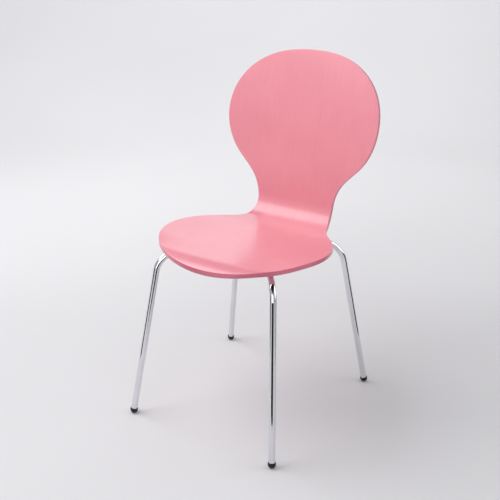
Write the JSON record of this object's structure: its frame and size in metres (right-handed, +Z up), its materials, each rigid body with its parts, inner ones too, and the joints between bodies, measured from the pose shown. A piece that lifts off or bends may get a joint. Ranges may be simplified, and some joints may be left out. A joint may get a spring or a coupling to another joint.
{
  "type": "stacking chair",
  "caption": "Stacking chair with a one-piece keyhole-shaped bent plywood seat and back on a splayed chromed tube frame with dark foot caps.",
  "frame": {"origin": "on the floor, at the centre of the chair's overall footprint", "axes": "+Z up, -Y towards the front of the seat, +X to the right for someone facing the front of the chair"},
  "size_m": [0.4618, 0.5369, 0.8699],
  "materials": {
    "stained_plywood": "pink stain under satin lacquer",
    "chromed_steel": "bright chrome plate",
    "black_steel": "black powder coat",
    "weld_metal": "as welded, plated over",
    "rubber": "matt",
    "zinc_steel": "bright zinc plate",
    "grey_plastic": "fine moulded texture",
    "clear_grey_plastic": "milky, satin",
    "black_plastic": "semi-gloss"
  },
  "bodies": {
    "root": {"seat_shell": "stained_plywood", "front_leg_tube": "chromed_steel", "rear_leg_tube": "chromed_steel", "mounting_plate": "black_steel", "plate_welds": "weld_metal", "crossing_weld": "weld_metal", "levelling_pad": "rubber", "threaded_inserts": "zinc_steel", "mounting_screws": "zinc_steel", "screw_washers": "zinc_steel", "centre_cover": "grey_plastic", "buffer_front_left": "clear_grey_plastic", "buffer_front_right": "clear_grey_plastic", "buffer_rear_left": "clear_grey_plastic", "buffer_rear_right": "clear_grey_plastic", "foot_cap_front_left": "black_plastic", "foot_cap_front_right": "black_plastic", "foot_cap_rear_left": "black_plastic", "foot_cap_rear_right": "black_plastic"}
  },
  "joints": []
}
